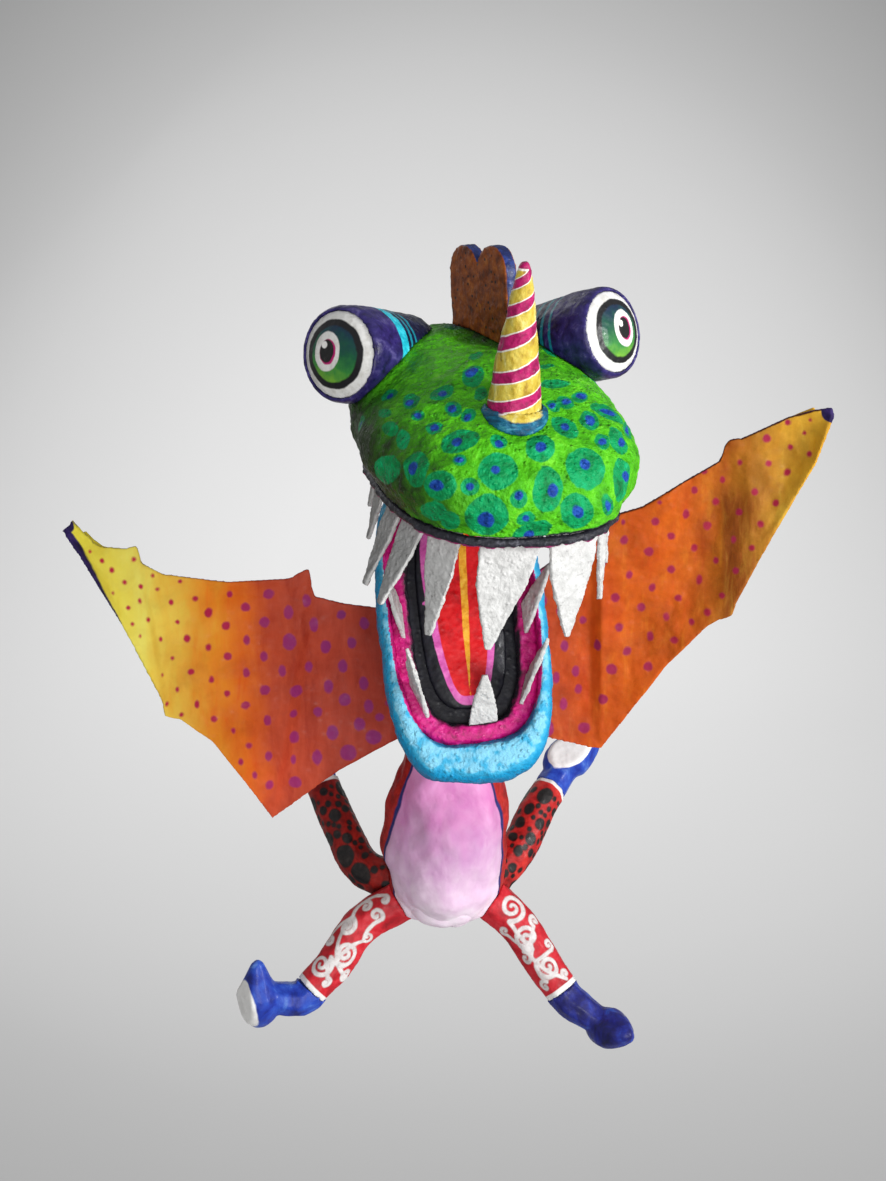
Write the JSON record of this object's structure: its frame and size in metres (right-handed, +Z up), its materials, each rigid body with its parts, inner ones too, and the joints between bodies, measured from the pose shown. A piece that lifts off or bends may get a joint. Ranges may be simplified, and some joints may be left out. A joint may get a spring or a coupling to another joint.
{
  "type": "hanging alebrije figure",
  "caption": "Painted papier-mache winged creature with a horn, stalked eyes, an open toothed mouth, booted limbs and plug-in wings, hung from a wire loop behind its crest.",
  "frame": {"origin": "top inside of the wire hanging loop, where a hook or thread bears", "axes": "+Z up as it hangs, -Y the way the mouth faces, +X the viewer's right"},
  "size_m": [0.445, 0.2599, 0.4914],
  "materials": {
    "green_pulp": "painted pulp, lime green with teal spots, low gloss",
    "charcoal_pulp": "painted pulp, charcoal",
    "magenta_paint": "painted pulp, magenta",
    "yellow_paint": "painted pulp, yellow with magenta bands",
    "teal_paint": "painted pulp, dark teal blue",
    "orange_paint": "painted board, orange",
    "indigo_paint": "painted paper, indigo with cyan stripes, satin",
    "white_paint": "painted pulp, ringed eye",
    "white_card": "pulp-faced board, white, matt",
    "cyan_paint": "painted pulp, cyan",
    "black_paint": "painted paper, black",
    "red_paint": "painted paper, red",
    "crimson_paint": "painted paper, crimson with a pink belly",
    "cobalt_paint": "painted paper, cobalt blue",
    "newsprint": "crumpled newspaper",
    "cardboard": "rolled kraft board",
    "bamboo": "split cane",
    "steel_wire": "drawn wire"
  },
  "bodies": {
    "figure": {"head_shell": "green_pulp", "head_core": "newsprint", "torso_core": "newsprint", "palate": "magenta_paint", "gum": "magenta_paint", "upper_lip": "charcoal_pulp", "horn": "yellow_paint", "horn_collar": "teal_paint", "crest": "orange_paint", "eye_stalk_left": "indigo_paint", "eye_stalk_right": "indigo_paint", "eye_left": "white_paint", "eye_right": "white_paint", "upper_tooth_left_1": "white_card", "upper_tooth_left_2": "white_card", "upper_tooth_left_3": "white_card", "upper_tooth_left_4": "white_card", "upper_tooth_front_left": "white_card", "upper_tooth_front_middle": "white_card", "upper_tooth_right_1": "white_card", "upper_tooth_right_2": "white_card", "upper_tooth_right_3": "white_card", "lower_tooth_left_back": "white_card", "lower_tooth_left_front": "white_card", "lower_tooth_middle": "white_card", "lower_tooth_right_front": "white_card", "lower_tooth_right_back": "white_card", "lower_jaw": "cyan_paint", "mouth_floor": "black_paint", "tongue": "red_paint", "torso_shell": "crimson_paint", "neck": "crimson_paint", "spine_wire": "steel_wire", "arm_left": "red_paint", "arm_right": "red_paint", "leg_left": "red_paint", "leg_right": "red_paint", "arm_boot_left": "cobalt_paint", "arm_boot_right": "cobalt_paint", "leg_boot_left": "cobalt_paint", "leg_boot_right": "cobalt_paint", "arm_wire_left": "steel_wire", "arm_wire_right": "steel_wire", "leg_wire_left": "steel_wire", "leg_wire_right": "steel_wire", "hanging_loop": "steel_wire", "wing_socket_left": "cardboard", "wing_socket_right": "cardboard"},
    "wing_left": {"wing_membrane_left": "orange_paint", "wing_spar_left": "bamboo", "wing_rib_inner_left": "bamboo", "wing_rib_outer_left": "bamboo"},
    "wing_right": {"wing_membrane_right": "orange_paint", "wing_spar_right": "bamboo", "wing_rib_inner_right": "bamboo", "wing_rib_outer_right": "bamboo"}
  },
  "joints": [
    {"name": "wing_left_pull", "type": "slide", "parent": "figure", "child": "wing_left", "axis": [-0.5003, 0.7204, 0.4803], "range_m": [0, 0.03]},
    {"name": "wing_right_pull", "type": "slide", "parent": "figure", "child": "wing_right", "axis": [0.5003, 0.7204, 0.4803], "range_m": [0, 0.03]}
  ]
}
